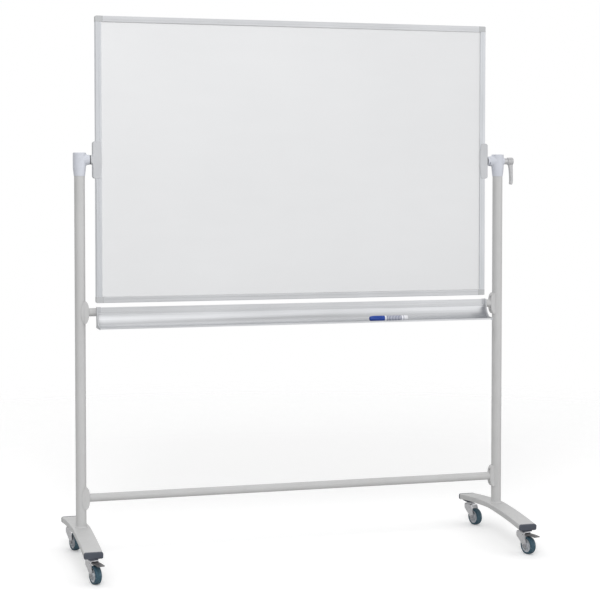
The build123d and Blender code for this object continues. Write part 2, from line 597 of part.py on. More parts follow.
def tray_section():
    surface = tray_surface()
    under_z = TRAY_SHELF_Z - TRAY_WALL
    back_y = TRAY_WALL_Y + TRAY_WALL
    tip = Line(surface[-1] @ 1, (TRAY_FRONT_Y, TRAY_SHELF_Z + TRAY_LIP))
    front = Line(tip @ 1, (TRAY_FRONT_Y, under_z))
    under = Line(front @ 1, (SHELF_START_Y, under_z))
    curve = TangentArc((back_y, UPPER_CROSSBAR_Z - 12), under @ 1, tangent=(0, -1))
    back = Line(curve @ 0, (back_y, TRAY_TOP_Z))
    top = Line(back @ 1, surface[0] @ 0)
    return make_face([*surface, tip, front, under, curve, back, top])


def build_tray():
    half = TRAY_LENGTH / 2 - TRAY_CAP
    channel = Pos(-half, 0, 0) * extrude(Plane.YZ * tray_section(), 2 * half)
    channel += block(-half, half, TRAY_WALL_Y + TRAY_WALL / 2, -11.5,
                     UPPER_CROSSBAR_Z - TRAY_PAD, UPPER_CROSSBAR_Z + TRAY_PAD)
    channel -= bar_x(CROSSBAR_RADIUS + FIT, -TRAY_LENGTH, TRAY_LENGTH, z=UPPER_CROSSBAR_Z)
    screw = Rot(0, 0, -90) * pan_screw(0, CROSSBAR_RADIUS + 18)
    screws = []
    for x in TRAY_SCREW_PLACES:
        channel -= bar_y(SCREW_RADIUS + FIT, -18.5, 0, x=x, z=UPPER_CROSSBAR_Z)
        screws.append(Pos(x, CROSSBAR_RADIUS, UPPER_CROSSBAR_Z) * screw)
    parts["tray_channel"] = channel
    parts["tray_screws"] = Compound(screws)


def tray_cap():
    """Right-hand end cap: a plate that stands above the tray's surface, with a strip over its wall."""
    back_y = -12.0
    front_y = TRAY_FRONT_Y - TRAY_CAP_MARGIN
    top_z = TRAY_TOP_Z + TRAY_CAP_MARGIN
    bottom_z = TRAY_SHELF_Z - TRAY_WALL - TRAY_CAP_MARGIN
    lip_z = TRAY_SHELF_Z + TRAY_LIP
    rear = Line((back_y, bottom_z), (back_y, top_z))
    top = Line(rear @ 1, (TRAY_WALL_Y - 9, top_z))
    nose = Line(top @ 1, (TRAY_WALL_Y - 12, UPPER_CROSSBAR_Z + 4))
    sweep_in = TangentArc(nose @ 1, (SHELF_START_Y - 8, lip_z + 3), tangent=(0, -1))
    fore = Line(sweep_in @ 1, (front_y + 2, lip_z + 1.5))
    lip = Line(fore @ 1, (front_y, lip_z))
    front = Line(lip @ 1, (front_y, bottom_z))
    base = Line(front @ 1, rear @ 0)
    outline = make_face([rear, top, nose, sweep_in, fore, lip, front, base])
    plate = Pos(TRAY_LENGTH / 2 - TRAY_CAP, 0, 0) * extrude(Plane.YZ * outline, TRAY_CAP)
    plate = fillet(plate.edges().group_by(Axis.X)[-1], 1.0)
    inner_x = TRAY_LENGTH / 2 - TRAY_CAP
    wrap_y = TRAY_WALL_Y + TRAY_WALL + TRAY_CAP_MARGIN
    strip = block(inner_x - TRAY_CAP_SKIRT, inner_x, TRAY_WALL_Y - TRAY_CAP_MARGIN, wrap_y,
                  UPPER_CROSSBAR_Z - 2, top_z)
    strip -= block(0, inner_x, TRAY_WALL_Y, wrap_y - TRAY_CAP_MARGIN, 0, TRAY_TOP_Z)
    strip -= block(0, inner_x, TRAY_WALL_Y, wrap_y, 0, UPPER_CROSSBAR_Z + TRAY_PAD)
    return plate + strip - bar_x(CROSSBAR_RADIUS + FIT, 0, TRAY_LENGTH, z=UPPER_CROSSBAR_Z)


def build_tray_caps():
    for name, side in SIDES.items():
        parts[f"tray_{name}_cap"] = on_side(tray_cap(), side)


# ---------------------------------------------------------------- casters
def caster_stem():
    """Threaded stem with the swivel cup above the fork and the rivet head below it."""
    cup_top = CASTER_TOP_Z - 0.2
    rivet_radius = SWIVEL_RADIUS + 3
    return turned([(0, FORK_UNDER_Z - 2.5), (rivet_radius, FORK_UNDER_Z - 2.5),
                   (rivet_radius, FORK_UNDER_Z - GAP), (SWIVEL_RADIUS, FORK_UNDER_Z - GAP),
                   (SWIVEL_RADIUS, FORK_TOP_Z + GAP), (CUP_RADIUS - 1, FORK_TOP_Z + GAP),
                   (CUP_RADIUS, FORK_TOP_Z + 1.5), (CUP_RADIUS, cup_top), (STEM_RADIUS, cup_top),
                   (STEM_RADIUS, CASTER_TOP_Z + STEM_LENGTH), (0, CASTER_TOP_Z + STEM_LENGTH)])


def fork():
    """Bent fork: a crown over the wheel and two arms that taper down to the axle."""
    crown_depth = 18.6
    crown = Pos(-2, FORK_TOP_Z - crown_depth / 2) * Rectangle(FORK_LENGTH, crown_depth)
    arm_end = Pos(-CASTER_TRAIL, WHEEL_RADIUS) * Circle(9.0)
    side_outline = make_hull(arm_end.edges() + crown.edges())
    shell = Pos(-FORK_HALF, 0, 0) * extrude(Plane.YZ * side_outline, 2 * FORK_HALF)
    shell = fillet(shell.edges().filter_by(Axis.Y).group_by(Axis.Z)[-1], 4.0)
    shell -= block(-FORK_GAP / 2, FORK_GAP / 2, -100, 100, 0, FORK_UNDER_Z)
    shell -= bar_z(SWIVEL_RADIUS + FIT, FORK_UNDER_Z - 10, FORK_TOP_Z + 10)
    return shell - bar_x(AXLE_RADIUS + FIT, -FORK_HALF - 1, FORK_HALF + 1, y=-CASTER_TRAIL, z=WHEEL_RADIUS)


def axle():
    """Axle bolt with a hexagon outside each arm of the fork."""
    hexagon = Plane.YZ * Pos(-CASTER_TRAIL, WHEEL_RADIUS) * RegularPolygon(7.0, 6)
    bolt = bar_x(AXLE_RADIUS, -FORK_HALF - 1, FORK_HALF + 1, y=-CASTER_TRAIL, z=WHEEL_RADIUS)
    bolt += Pos(FORK_HALF, 0, 0) * extrude(hexagon, AXLE_HEAD)
    return bolt + Pos(-FORK_HALF - AXLE_HEAD, 0, 0) * extrude(hexagon, AXLE_HEAD)


def wheel_core():
    """Wheel body: rim, thin web and hub barrel that runs on the axle."""
    rim_half = WHEEL_WIDTH / 2 - 1.5
    hub_half = FORK_GAP / 2 - GAP
    right = [(rim_half, RIM_RADIUS), (rim_half, RIM_RADIUS - 3), (4, RIM_RADIUS - 5),
             (4, HUB_BARREL_RADIUS), (hub_half, HUB_BARREL_RADIUS - 2), (hub_half, AXLE_RADIUS + FIT)]
    left = [(-x, radius) for x, radius in reversed(right)]
    return turned_x(right + left, y=-CASTER_TRAIL, z=WHEEL_RADIUS)


def tyre():
    depth = WHEEL_RADIUS - RIM_RADIUS
    section = Pos(0, RIM_RADIUS + depth / 2) * Rectangle(WHEEL_WIDTH, depth)
    section = fillet(section.vertices().group_by(Axis.Y)[-1], 4.0)
    return Pos(0, -CASTER_TRAIL, WHEEL_RADIUS) * revolve(section, Axis.X)


def pedal():
    """Brake pedal with its hinge pin, the pad over the tyre and a tread that dips at the tip."""
    top_z = HINGE_Z + 3.9
    under_z = top_z - 2.8
    outline = Polyline((HINGE_Y + 4, top_z), (HINGE_Y + 4, HINGE_Z - 2.5), (HINGE_Y - 4, HINGE_Z - 2.5),
                       (HINGE_Y - 5, under_z), (-56, under_z), (-80, under_z - 2.1), (-80, under_z + 0.4),
                       (-56, top_z), close=True)
    half = FORK_GAP / 2 - GAP
    plate = Pos(-half, 0, 0) * extrude(Plane.YZ * make_face(outline), 2 * half)
    plate += block(-9, 9, -35, -22, WHEEL_RADIUS * 2 + 2.6, under_z + 0.4)
    return plate + bar_x(HINGE_RADIUS, -FORK_HALF, FORK_HALF, y=HINGE_Y, z=HINGE_Z)


def build_casters():
    """Four casters, their wheels trailing to the front and turned a little to the right."""
    stems = []
    hinge_hole = bar_x(HINGE_RADIUS + FIT, -FORK_HALF - 1, FORK_HALF + 1, y=HINGE_Y, z=HINGE_Z)
    for end_name, end in ENDS.items():
        for side_name, side in SIDES.items():
            place = Pos(side * POST_X, end * CASTER_Y, 0) * Rot(0, 0, CASTER_TURN)
            name = f"{end_name}_{side_name}"
            stems.append(place * caster_stem())
            parts[name + "_fork"] = place * fork()
            parts[name + "_axle"] = place * axle()
            parts[name + "_wheel_core"] = place * wheel_core()
            parts[name + "_tyre"] = place * tyre()
            if end_name == "front":
                parts[name + "_fork"] -= place * hinge_hole
                parts[name + "_pedal"] = place * pedal()
    parts["caster_stems"] = Compound(stems)


# ---------------------------------------------------------------- marker
def marker_barrel():
    """Barrel with the narrow snout that the cap slides over; X = 0 is the cap's closed end."""
    mouth = MARKER_CAP_LENGTH + GAP
    barrel = turned_x([(20, 0), (20, 3.5), (32, 4.5), (34, SNOUT_RADIUS), (mouth, SNOUT_RADIUS),
                       (mouth, MARKER_RADIUS), (MARKER_LENGTH - 2, MARKER_RADIUS),
                       (MARKER_LENGTH, MARKER_RADIUS - 2), (MARKER_LENGTH, 0)])
    return barrel - bar_x(NIB_RADIUS + FIT, 19, 30)


def marker_nib():
    return turned_x([(12, 0), (12, 0.8), (14, NIB_RADIUS), (29.5, NIB_RADIUS), (29.5, 0)])


def marker_cap(radius):
    inner = SNOUT_RADIUS + GAP
    return turned_x([(0, 0), (0, radius - 3.4), (1.5, radius - 2.2), (16, radius),
                     (MARKER_CAP_LENGTH, radius), (MARKER_CAP_LENGTH, inner), (30, inner),
                     (8, inner - 1.3), (8, 0)])


def build_marker():
    cap_radius = MARKER_RADIUS + GAP
    place = Pos(MARKER_LEFT_X, MARKER_Y, TRAY_SHELF_Z + cap_radius + GAP)
    parts["marker_barrel"] = place * marker_barrel()
    parts["marker_nib"] = place * marker_nib()
    parts["marker_cap"] = place * marker_cap(cap_radius)


build_frame()
build_corners()
build_panel()
build_brackets()
build_feet()
build_foot_caps()
build_posts()
build_foot_fasteners()
build_crossbars()
build_saddles()
build_heads()
build_pivots()
build_clamp()
build_tray()
build_tray_caps()
build_casters()
build_marker()

os.makedirs("parts", exist_ok=True)
for name, shape in parts.items():
    export_step(shape, os.path.join("parts", name + ".step"))
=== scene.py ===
import json
from math import cos, pi, radians, sin

import bmesh
import bpy
from mathutils import Matrix, Vector


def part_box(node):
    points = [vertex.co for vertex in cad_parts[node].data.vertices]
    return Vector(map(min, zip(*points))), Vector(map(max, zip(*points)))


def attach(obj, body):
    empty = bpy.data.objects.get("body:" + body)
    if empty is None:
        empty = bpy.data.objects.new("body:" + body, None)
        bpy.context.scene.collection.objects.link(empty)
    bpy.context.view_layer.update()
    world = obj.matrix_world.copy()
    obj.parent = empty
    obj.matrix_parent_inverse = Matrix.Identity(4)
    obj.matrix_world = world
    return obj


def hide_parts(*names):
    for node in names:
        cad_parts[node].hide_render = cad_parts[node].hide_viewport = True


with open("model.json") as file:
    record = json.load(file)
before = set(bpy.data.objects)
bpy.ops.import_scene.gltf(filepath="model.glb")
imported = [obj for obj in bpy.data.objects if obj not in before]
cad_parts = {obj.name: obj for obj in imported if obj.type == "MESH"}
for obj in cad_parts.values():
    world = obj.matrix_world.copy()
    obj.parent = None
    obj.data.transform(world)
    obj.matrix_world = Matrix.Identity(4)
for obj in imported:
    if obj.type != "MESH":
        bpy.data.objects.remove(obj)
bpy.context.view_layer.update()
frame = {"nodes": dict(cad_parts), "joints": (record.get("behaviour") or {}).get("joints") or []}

# Rolling whiteboard. Lengths are metres in the CAD model's own frame: +X right, +Y back, +Z up.
MM = 0.001
TOUCHING = 1e-6     # points nearer than this are one point

# Camera
CAMERA_PLACE = (-1.580, -5.621, 1.389)
CAMERA_TURN = 15.83     # degrees to the right of straight at the board
CAMERA_TILT = -2.17     # degrees
CAMERA_LENS = 94.05     # millimetres
SENSOR_WIDTH = 36.0     # millimetres
CAMERA_SHIFT = (0.0002, -0.1007)
CAMERA_REACH = 100.0

# Studio: the light that each soft lobe of the surroundings adds, as (direction, edge, strength)
WHITE = (1.0, 1.0, 1.0)
BACKGROUND = 1.0        # strength of the plain white that the camera sees behind the object
BASE_LIGHT = 0.23       # what the surroundings give outside the lobes
LOBES = (((0.0, 0.45, 1.0), 0.35, 0.75),
         ((0.85, -0.50, 0.0), 0.45, 0.90),
         ((-0.30, -0.88, 0.42), 0.70, 1.00),
         ((-0.30, 0.95, 0.15), 0.50, 0.45))
KEY_PLACE = (-1.2, -3.6, 3.8)
KEY_TARGET = (0.0, 0.0, 1.1)
KEY_SIZE = 1.6
KEY_POWER = 66.0
FLOOR_RADIUS = 5.0
FLOOR_FADE = 2.4        # radius from which the floor thins out into the background
FLOOR_BOUNCE = (0.62, 0.62, 0.615)      # the colour by which the floor lights the object
FLOOR_COLOUR = WHITE    # the colour that the camera sees
FLOOR_GLOW = 0.12       # lifts the floor to the white of the background

# Printed bars on the marker, as distances from the closed end of its cap
PRINT_RING = (0.132, 0.134)
PRINT_BARS = (0.064, 0.124)
PRINT_HALF_PITCH = 0.003
PRINT_GAP_EDGE = (0.0008, 0.0010)       # distances from a gap's middle, where the ink begins

# Mesh quality
SMOOTH_BELOW = 35       # degrees between faces that still shade as one
BEVEL_ABOVE = 40        # degrees between faces whose edge is rounded
FLAT_BELOW = 1          # degrees between faces that are merged into one
CURVE_STEPS = 4         # steps in each rounded corner of a profile
CURVE_SHARE = 0.45      # the most that a rounded corner takes of the line beside it
OUTER_SHARE = 0.9       # of the greatest radius, where a turned piece's outer face begins
FLOOR_SEGMENTS = 96
WHEEL_SEGMENTS = 96
BARREL_SEGMENTS = 72
CAP_SEGMENTS = 144
SCREW_SEGMENTS = 48

# From here to the next heading, lengths are millimetres

# Tyre: (inset from the side face, distance from the rim or from the tread), then the mould
# seam at the middle of the tread as (half width, depth)
TYRE_HALF_WIDTH = 12.0
RIM_RADIUS = 25.0
TYRE_BEAD = ((0.0, 0.0), (0.0, 1.2), (0.5, 1.5), (0.5, 2.2), (0.0, 2.6))
TYRE_SHOULDER = ((0.0, 4.0), (1.4, 1.2), (5.0, 0.15))
TYRE_SEAM = (0.3, 0.15)
TYRE_ROUNDING = 0.7

# Wheel body: right half of its section as (distance from the middle, radius), through rim, web
# and hub barrel to the bore, and its ribs as ranges along the axle and of the radius
WHEEL_SECTION = ((0.0, RIM_RADIUS), (10.5, RIM_RADIUS), (10.5, 22.2), (4.0, 20.2), (4.0, 11.2),
                 (9.0, 10.2), (12.9, 9.0), (12.9, 4.1), (0.0, 4.1))
WHEEL_ROUNDING = 0.6
WHEEL_RIBS = 8
RIB_ALONG = (3.8, 8.2)
RIB_RADII = (10.0, 21.5)
RIB_HALF_WIDTH = 1.0
WHEEL_EDGE = 0.3

# Marker: all places are distances along it from the closed end of its cap. The step is the
# depth of its seams and the gap at the cap's mouth.
MARKER_STEP = 0.35
SNOUT_DROP = 2.2        # how much less the snout's radius is than the barrel's
SNOUT_FRONT = ((20.0, 0.0), (20.0, 3.5), (32.0, 4.5))       # (place, radius) up to the snout
SNOUT_START = 34.0
BARREL_SEAM = (14.0, 13.6, 13.2, 12.8)      # distances from the barrel's end
BARREL_END = ((2.5, 0.0), (0.6, 1.6), (0.6, 3.4), (0.0, 4.0))   # (from the end, drop in radius)
BARREL_ROUNDING = 0.5
CAP_DOME = ((0.0, 4.5), (1.5, 2.4), (9.0, 0.7), (16.0, 0.0))    # (place, drop in radius)
CAP_FLUTED = (17.0, 49.0)
CAP_RINGS = tuple(16.0 + 2.0 * ring for ring in range(1, 18))   # rings that carry the flutes
CAP_FLUTES = 36
CAP_FLUTE_DEPTH = 0.3
CAP_SEAM = (51.0, 51.6)
CAP_GAP = 0.25          # round the snout
CAP_INSIDE = (30.0, 8.0)        # where the bore begins to taper, and its closed end
CAP_TAPER = 1.4
CAP_ROUNDING = 0.4

# Pan-head screws: (depth below the top of the head, radius), then the shank and its recess
PAN_HEAD = ((0.0, 0.0), (0.05, 1.4), (0.35, 2.7), (0.9, 3.7), (1.6, 4.25), (2.3, 4.4), (2.6, 4.3))
SHANK_RADIUS = 2.5
HEAD_BEYOND = 3.5       # only the head reaches further than this from a screw's axis
RECESS_DEPTH = 1.7
RECESS_CLEAR = 1.0      # how far the recess's cutter stands above the head
RECESS_HALF_LENGTH = 2.3
RECESS_HALF_WIDTH = 0.45
RECESS_TAPER = 0.55     # size of the recess at its bottom against its top

# Grip bars on a brake pedal, in the frame of its joint
TREAD_BARS = 4
TREAD_FIRST = -26.0
TREAD_PITCH = 4.2
TREAD_HALF_LENGTH = 8.0
TREAD_HALF_WIDTH = 0.9
TREAD_HEIGHTS = (3.7, 4.5)
TREAD_EDGE = 0.35

# Radii on the edges of CAD nodes
EDGE_RADII = {"frame_top": 0.5, "frame_bottom": 0.5, "frame_left": 0.5, "frame_right": 0.5,
              "tray_channel": 0.4, "tray_left_cap": 0.6, "tray_right_cap": 0.6,
              "frame_corners": 0.5}


# ---------------------------------------------------------------- materials
class Look:
    """A material of one Principled shader, with pattern nodes in the piece's own coordinates.

    In the calls below, sizes and depths are metres. The two numbers after a pattern are what it
    gives at its low and at its high end, and the next two are where in the pattern these lie.
    """

    def __init__(self, name, colour, roughness, metallic=0.0, coat=0.0):
        self.material = bpy.data.materials.new(name)
        self.material.use_nodes = True
        self.tree = self.material.node_tree
        self.shader = self.tree.nodes["Principled BSDF"]
        self.place = self.tree.nodes.new("ShaderNodeTexCoord").outputs["Object"]
        self.base = colour
        self.set("Base Color", (*colour, 1.0))
        self.set("Roughness", roughness)
        self.set("Metallic", metallic)
        self.set("Coat Weight", coat)
        self.normal = None

    def set(self, socket, value):
        """Sets an input of the shader."""
        self.shader.inputs[socket].default_value = value

    def node(self, kind, **inputs):
        """Adds a node with its inputs, which are numbers or the outputs of other nodes."""
        made = self.tree.nodes.new("ShaderNode" + kind)
        for name, value in inputs.items():
            socket = made.inputs[name.replace("_", " ")]
            if isinstance(value, bpy.types.NodeSocket):
                self.tree.links.new(value, socket)
            else:
                socket.default_value = value
        return made

    def noise(self, size, detail, stretch=(1, 1, 1)):
        """Cloudy noise with features about size across. They are drawn out along an axis whose
        number in stretch is below 1."""
        place = self.node("Mapping", Vector=self.place, Scale=stretch).outputs[0]
        return self.node("TexNoise", Vector=place, Scale=1 / size, Detail=detail).outputs["Fac"]

    def cells(self, size):
        """A random grey for each cell of a mosaic with cells about size across."""
        return self.node("TexVoronoi", Vector=self.place, Scale=1 / size).outputs["Color"]

    def span(self, factor, low, high, start=0.3, end=0.7):
        """A number that runs from low to high while factor runs from start to end."""
        made = self.node("MapRange", Value=factor)
        made.inputs["From Min"].default_value = start
        made.inputs["From Max"].default_value = end
        made.inputs["To Min"].default_value = low
        made.inputs["To Max"].default_value = high
        return made.outputs["Result"]

    def band(self, value, start, end):
        """1 where value lies between start and end, and 0 elsewhere."""
        over = self.node("Math", Value=value)
        over.operation = "COMPARE"
        over.inputs[1].default_value = (start + end) / 2
        over.inputs[2].default_value = (end - start) / 2
        return over.outputs[0]

    def shade(self, factor, low, high, start=0.3, end=0.7, tint=None):
        """Multiplies the colour so far by a grey that runs from low to high with factor. With a
        tint, mixes in that much of the tint instead."""
        mix = self.tree.nodes.new("ShaderNodeMix")
        mix.data_type = "RGBA"
        mix.blend_type = "MIX" if tint else "MULTIPLY"
        amount = self.span(factor, low, high, start, end)
        socket = self.shader.inputs["Base Color"]
        if socket.links:
            self.tree.links.new(socket.links[0].from_socket, mix.inputs["A"])
        else:
            mix.inputs["A"].default_value = (*self.base, 1.0)
        if tint:
            self.tree.links.new(amount, mix.inputs["Factor"])
            mix.inputs["B"].default_value = (*tint, 1.0)
        else:
            mix.inputs["Factor"].default_value = 1.0
            self.tree.links.new(amount, mix.inputs["B"])
        self.tree.links.new(mix.outputs["Result"], socket)

    def polish(self, factor, low, high, start=0.3, end=0.7):
        """Lets the roughness run from low to high with factor."""
        amount = self.span(factor, low, high, start, end)
        self.tree.links.new(amount, self.shader.inputs["Roughness"])

    def fade(self, start, end):
        """Lets the piece thin out to nothing between two distances from its origin."""
        away = self.node("VectorMath", Vector=self.place)
        away.operation = "LENGTH"
        self.tree.links.new(self.span(away.outputs["Value"], 1.0, 0.0, start, end),
                            self.shader.inputs["Alpha"])

    def relief(self, height, depth):
        """Adds a relief of that depth to those before it."""
        bump = self.node("Bump", Height=height, Distance=depth)
        if self.normal is not None:
            self.tree.links.new(self.normal, bump.inputs["Normal"])
        self.normal = bump.outputs["Normal"]
        self.tree.links.new(self.normal, self.shader.inputs["Normal"])


def powder_coat(name, colour):
    """Sprayed and baked paint: orange peel, fine speckle and a few rubbed, darker places."""
    look = Look(name, colour, 0.42)
    look.shade(look.noise(0.16, 2), 0.965, 1.02)
    look.shade(look.noise(0.0009, 2), 0.96, 1.03)
    look.shade(look.noise(0.035, 6, (1, 1, 0.25)), 0.0, 0.22, 0.60, 0.78, tint=(0.45, 0.44, 0.42))
    look.polish(look.noise(0.02, 4), 0.34, 0.50)
    look.relief(look.noise(0.0022, 1), 0.00009)
    look.relief(look.noise(0.0007, 2), 0.00003)
    return look.material


def anodised(name, colour, along):
    """Extruded and anodised aluminium: fine draw lines along the bar, which lies on the axis
    with the number along, and cloudy streaks."""
    pull = [1.0, 1.0, 1.0]
    pull[along] = 0.004
    look = Look(name, colour, 0.34, metallic=1.0)
    look.shade(look.noise(0.0012, 3, pull), 0.90, 1.04)
    look.shade(look.noise(0.008, 3, pull), 0.95, 1.03)
    look.shade(look.noise(0.22, 3), 0.96, 1.03)
    look.polish(look.noise(0.0016, 3, pull), 0.26, 0.44)
    look.relief(look.noise(0.0006, 2, pull), 0.00003)
    return look.material


def moulded(name, colour, roughness=0.45, grain=0.0011):
    """Injection-moulded plastic: spark-eroded grain and faint flow marks."""
    look = Look(name, colour, roughness)
    look.shade(look.noise(0.03, 3, (1, 1, 0.4)), 0.95, 1.03)
    look.shade(look.noise(grain, 2), 0.95, 1.04)
    look.polish(look.noise(0.012, 3), roughness - 0.07, roughness + 0.08)
    look.relief(look.noise(grain, 2), 0.00005)
    return look.material


def enamel(name, colour):
    """Vitreous enamel on steel: glossy, very slightly wavy, with faint traces of wiping."""
    look = Look(name, colour, 0.22)
    look.shade(look.noise(0.5, 2), 0.985, 1.01)
    look.shade(look.noise(0.05, 5, (0.25, 1, 1)), 0.994, 1.003)
    look.shade(look.noise(0.0012, 2), 0.985, 1.01)
    look.polish(look.noise(0.07, 4, (0.3, 1, 1)), 0.20, 0.27)
    look.relief(look.noise(0.09, 1), 0.00025)
    look.relief(look.noise(0.0025, 2), 0.00002)
    return look.material


def plated(name, colour, roughness=0.34):
    """Zinc plating: small bright and dull crystals, with a clouded passivation film."""
    look = Look(name, colour, roughness, metallic=1.0)
    look.shade(look.cells(0.0016), 0.86, 1.05, 0.0, 1.0)
    look.shade(look.noise(0.012, 4), 0.90, 1.05)
    look.polish(look.noise(0.004, 4), roughness - 0.10, roughness + 0.12)
    look.relief(look.noise(0.0011, 3), 0.00004)
    return look.material


def cast(name, colour):
    """Painted die casting: satin, slightly pitted."""
    look = Look(name, colour, 0.38, metallic=0.55)
    look.shade(look.noise(0.009, 3), 0.90, 1.04)
    look.polish(look.noise(0.006, 3), 0.30, 0.46)
    look.relief(look.noise(0.0014, 3), 0.00006)
    return look.material


def rubber(name, colour):
    """Thermoplastic rubber: matt, with a fine grain and paler blue patches of painted highlight.
    """
    look = Look(name, colour, 0.58)
    look.shade(look.noise(0.006, 5), 0.80, 1.15)
    # paler blue patches at random over the tyre: painted highlight
    look.shade(look.noise(0.011, 6), 0.0, 0.30, 0.52, 0.75, tint=(0.20, 0.29, 0.34))
    look.polish(look.noise(0.004, 3), 0.48, 0.68)
    look.relief(look.noise(0.0008, 3), 0.00008)
    return look.material


def core_paper(name, colour):
    """Pressed board between the writing sheets."""
    look = Look(name, colour, 0.8)
    look.shade(look.noise(0.003, 5), 0.75, 1.15)
    look.relief(look.noise(0.002, 4), 0.0002)
    return look.material


def gloss_plastic(name, colour):
    """Glossy moulded plastic, faintly clouded."""
    look = Look(name, colour, 0.22, coat=0.3)
    look.shade(look.noise(0.01, 3), 0.94, 1.03)
    look.polish(look.noise(0.004, 3), 0.16, 0.30)
    look.relief(look.noise(0.003, 2), 0.00002)
    return look.material


def felt(name, colour):
    """Inked fibre."""
    look = Look(name, colour, 0.9)
    look.shade(look.noise(0.0005, 4), 0.5, 1.3)
    look.relief(look.noise(0.0004, 4), 0.0001)
    return look.material


def marker_print(name):
    """Glossy white plastic with plain printed bars round it."""
    look = Look(name, (0.80, 0.81, 0.84), 0.24, coat=0.3)
    look.shade(look.noise(0.01, 3), 0.94, 1.03)
    along = look.node("SeparateXYZ", Vector=look.place).outputs["X"]
    bars = look.node("Math", Value=along)
    bars.operation = "PINGPONG"
    bars.inputs[1].default_value = PRINT_HALF_PITCH
    look.shade(look.band(along, *PRINT_RING), 0.0, 0.8, 0.0, 1.0, tint=(0.06, 0.08, 0.22))
    printed = look.node("Math", Value=look.band(along, *PRINT_BARS))
    printed.operation = "MULTIPLY"
    ink = look.span(bars.outputs[0], 0.0, 1.0, *PRINT_GAP_EDGE)
    look.tree.links.new(ink, printed.inputs[1])
    look.shade(printed.outputs[0], 0.0, 0.85, 0.0, 1.0, tint=(0.07, 0.09, 0.20))
    look.polish(look.noise(0.004, 3), 0.18, 0.32)
    look.relief(look.noise(0.003, 2), 0.00002)
    return look.material


# What each slot is made of: a material function, the colour and the function's other values
SURFACES = {
    "post_enamel": (powder_coat, (0.56, 0.56, 0.56)),
    "frame_upright": (anodised, (0.78, 0.80, 0.83), 2),
    "frame_aluminium": (anodised, (0.78, 0.79, 0.81), 0),
    "corner_plastic": (moulded, (0.50, 0.51, 0.52)),
    "bracket_plastic": (moulded, (0.56, 0.57, 0.59)),
    "head_plastic": (moulded, (0.62, 0.64, 0.70), 0.36),
    "cap_slate": (moulded, (0.075, 0.085, 0.11), 0.5),
    "writing_steel": (enamel, (0.765, 0.77, 0.78)),
    "core_board": (core_paper, (0.62, 0.50, 0.34)),
    "tray_aluminium": (anodised, (0.80, 0.81, 0.83), 0),
    "tray_cap_plastic": (moulded, (0.54, 0.55, 0.57)),
    "zinc": (plated, (0.74, 0.74, 0.76)),
    "pedal_steel": (cast, (0.18, 0.175, 0.18)),
    "fastener_steel": (plated, (0.50, 0.50, 0.52)),
    "wheel_plastic": (moulded, (0.55, 0.57, 0.60), 0.40),
    "tyre_rubber": (rubber, (0.035, 0.085, 0.12)),
    "lever_zinc": (cast, (0.58, 0.58, 0.59)),
    "bush_plastic": (moulded, (0.10, 0.10, 0.11), 0.5),
    "marker_blue": (gloss_plastic, (0.006, 0.05, 0.33)),
    "marker_white": (gloss_plastic, (0.82, 0.83, 0.85)),
    "nib_felt": (felt, (0.02, 0.05, 0.25)),
}
LOOKS = {name: make(name, *values) for name, (make, *values) in SURFACES.items()}


def dress_cad_nodes():
    """Gives every CAD node the material of its slot, with draw lines that run up the upright
    frame members."""
    for name, node in frame["nodes"].items():
        slot = node.data.materials[0].name
        upright = name in ("frame_left", "frame_right")
        node.data.materials[0] = LOOKS["frame_upright" if upright else slot]


# ---------------------------------------------------------------- fine pieces
JOINTS = {joint["name"]: joint for joint in frame["joints"]}


def softened(points, reach):
    """Rounds each corner between the ends of an (x, radius) profile with a short curve. The
    points and the curve's reach are millimetres, and what it gives back is metres."""
    corners = [Vector(point) * MM for point in points]
    made = [corners[0]]
    for before, corner, after in zip(corners, corners[1:], corners[2:]):
        ends = []
        for side in (before - corner, after - corner):
            ends.append(corner + side.normalized() * min(reach * MM, side.length * CURVE_SHARE))
        for step in range(CURVE_STEPS + 1):
            t = step / CURVE_STEPS
            made.append(ends[0] * (1 - t) ** 2 + corner * 2 * t * (1 - t) + ends[1] * t ** 2)
    return made + [corners[-1]]


def spin(mesh, profile, segments, flutes=0, flute_depth=0.0, fluted=(0.0, 0.0)):
    """Turns a profile about the X axis. A profile that ends on the axis is closed there.
    Flutes run along the outer face between the two places of fluted."""
    outer_face = OUTER_SHARE * max(radius for x, radius in profile)
    rings = []
    for x, radius in profile:
        if radius < TOUCHING:
            rings.append([mesh.verts.new((x, 0, 0))] * segments)
            continue
        has_flutes = fluted[0] < x < fluted[1] and radius > outer_face
        ring = []
        for step in range(segments):
            angle = 2 * pi * step / segments
            dip = flute_depth * max(0.0, cos(flutes * angle)) if has_flutes else 0.0
            place = (x, (radius - dip) * cos(angle), (radius - dip) * sin(angle))
            ring.append(mesh.verts.new(place))
        rings.append(ring)
    for first, second in zip(rings, rings[1:]):
        for step in range(segments):
            following = (step + 1) % segments
            loop = [first[step], first[following], second[following], second[step]]
            corners = [corner for i, corner in enumerate(loop) if corner not in loop[:i]]
            if len(corners) > 2:
                mesh.faces.new(corners)


def slab(mesh, low, high, turn=Matrix.Identity(4)):
    """A box between two corners in millimetres, turned by a matrix."""
    made = bmesh.ops.create_cube(mesh, size=1.0)["verts"]
    low, high = Vector(low) * MM, Vector(high) * MM
    place = Matrix.Translation((low + high) / 2) @ Matrix.Diagonal((*(high - low), 1.0))
    bmesh.ops.transform(mesh, matrix=turn @ place, verts=made)


def piece(name, mesh, place, body, slot, look, *nodes):
    """Puts a mesh in the frame on a body, in place of the CAD nodes if any are given."""
    bmesh.ops.recalc_face_normals(mesh, faces=mesh.faces)
    data = bpy.data.meshes.new(name)
    mesh.to_mesh(data)
    mesh.free()
    data.materials.append(look)
    made = bpy.data.objects.new(name, data)
    made.matrix_world = place
    bpy.context.scene.collection.objects.link(made)
    data.shade_smooth()
    data.set_sharp_from_angle(angle=radians(SMOOTH_BELOW))
    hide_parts(*nodes)
    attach(made, body)
    return made


